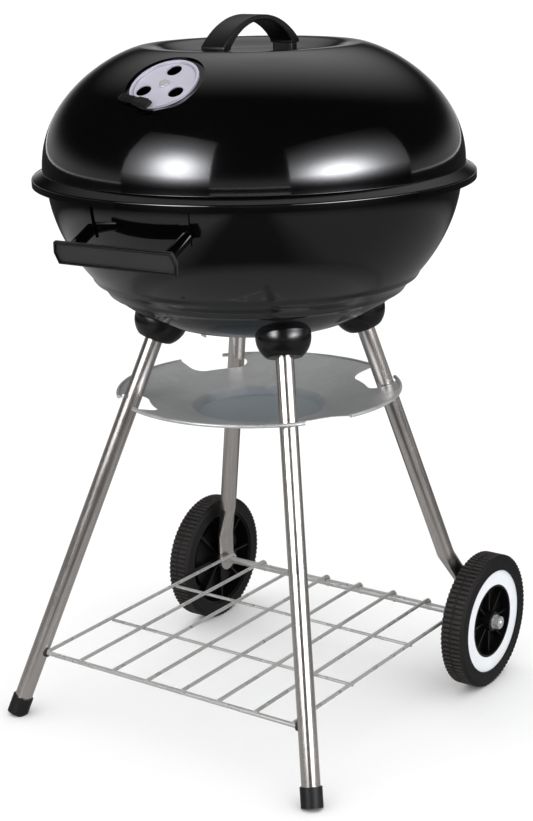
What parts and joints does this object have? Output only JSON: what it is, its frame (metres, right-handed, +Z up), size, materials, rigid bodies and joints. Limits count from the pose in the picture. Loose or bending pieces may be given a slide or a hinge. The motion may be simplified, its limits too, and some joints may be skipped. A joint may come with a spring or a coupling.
{
  "type": "kettle charcoal grill",
  "caption": "Covered kettle charcoal grill on a splayed tubular stand with rear wheels, a lower wire shelf, an ash tray, lid and bowl dampers and a carrying handle.",
  "frame": {"origin": "on the ground, directly under the kettle's vertical axis", "axes": "+Z up; +X along the wheel axle to the right; +Y towards the wheels, so the carrying handle is at -Y"},
  "size_m": [0.4599, 0.483, 0.7466],
  "materials": {
    "enamel": "gloss vitreous enamel",
    "handle_plastic": "satin moulded nylon",
    "tab_plastic": "fine moulded texture",
    "socket_plastic": "gloss moulded",
    "damper_aluminium": "brushed, pale",
    "rivet_steel": "satin",
    "fastener_steel": "zinc plated",
    "plug_steel": "plain",
    "grate_wire": "plated wire",
    "bracket_steel": "gloss vitreous enamel",
    "leg_steel": "polished tube",
    "cap_plastic": "satin moulded",
    "shelf_wire": "bright zinc plated wire",
    "grommet_rubber": "plain",
    "axle_steel": "bright zinc plated rod",
    "hub_plastic": "moulded, ribbed dish",
    "tyre": "ribbed tread",
    "ring_plastic": "white trim",
    "galvanised": "hazy galvanised sheet",
    "grip_metal": "satin powder coat, black arms"
  },
  "bodies": {
    "stand": {"bowl_shell": "enamel", "bowl_damper_rivet": "rivet_steel", "grate_brackets": "bracket_steel", "leg_front_right": "leg_steel", "leg_front_left": "leg_steel", "leg_rear_right": "leg_steel", "leg_rear_left": "leg_steel", "leg_socket_front_right": "socket_plastic", "leg_socket_front_left": "socket_plastic", "leg_socket_rear_right": "socket_plastic", "leg_socket_rear_left": "socket_plastic", "leg_plugs": "plug_steel", "leg_bolts": "fastener_steel", "foot_cap_front_right": "cap_plastic", "foot_cap_front_left": "cap_plastic", "shelf": "shelf_wire", "shelf_grommets": "grommet_rubber", "axle": "axle_steel", "axle_spacers": "fastener_steel", "axle_washers": "fastener_steel", "axle_nuts": "fastener_steel", "side_handle_grip": "grip_metal", "side_handle_arms": "grip_metal", "side_handle_straps": "grip_metal", "side_handle_bolts": "fastener_steel"},
    "lid": {"lid_shell": "enamel", "lid_handle": "handle_plastic", "lid_handle_spacers": "handle_plastic", "lid_handle_screws": "fastener_steel", "lid_damper_rivet": "rivet_steel"},
    "lid_damper": {"lid_damper_disc": "damper_aluminium", "lid_damper_tab": "tab_plastic"},
    "bowl_damper": {"bowl_damper_disc": "damper_aluminium"},
    "cooking_grate": {"cooking_grate": "grate_wire"},
    "charcoal_grate": {"charcoal_grate": "grate_wire"},
    "ash_tray": {"ash_tray": "galvanised"},
    "wheel_right": {"wheel_hub_right": "hub_plastic", "wheel_tyre_right": "tyre", "wheel_ring_right": "ring_plastic"},
    "wheel_left": {"wheel_hub_left": "hub_plastic", "wheel_tyre_left": "tyre", "wheel_ring_left": "ring_plastic"}
  },
  "joints": [
    {"name": "lid_lift", "type": "slide", "parent": "stand", "child": "lid", "axis": [0, 0, 1], "range_m": [0, 0.3]},
    {"name": "lid_damper_turn", "type": "hinge", "parent": "lid", "child": "lid_damper", "pos_m": [0.0139, -0.15889, 0.68986], "axis": [0.0476, -0.5439, 0.8378], "range_deg": [0, 60]},
    {"name": "bowl_damper_turn", "type": "hinge", "parent": "stand", "child": "bowl_damper", "pos_m": [0, 0, 0.4255], "axis": [0, 0, 1], "range_deg": [0, 60]},
    {"name": "cooking_grate_lift", "type": "slide", "parent": "stand", "child": "cooking_grate", "axis": [0, 0, 1], "range_m": [0, 0.045]},
    {"name": "charcoal_grate_lift", "type": "slide", "parent": "stand", "child": "charcoal_grate", "axis": [0, 0, 1], "range_m": [0, 0.05]},
    {"name": "ash_tray_turn", "type": "hinge", "parent": "stand", "child": "ash_tray", "pos_m": [0, 0, 0.343], "axis": [0, 0, 1], "range_deg": [-18, 0]},
    {"name": "wheel_right_spin", "type": "hinge", "parent": "stand", "child": "wheel_right", "pos_m": [0.19, 0.1565, 0.0755], "axis": [1, 0, 0], "continuous": true},
    {"name": "wheel_left_spin", "type": "hinge", "parent": "stand", "child": "wheel_left", "pos_m": [-0.19, 0.1565, 0.0755], "axis": [1, 0, 0], "continuous": true}
  ]
}
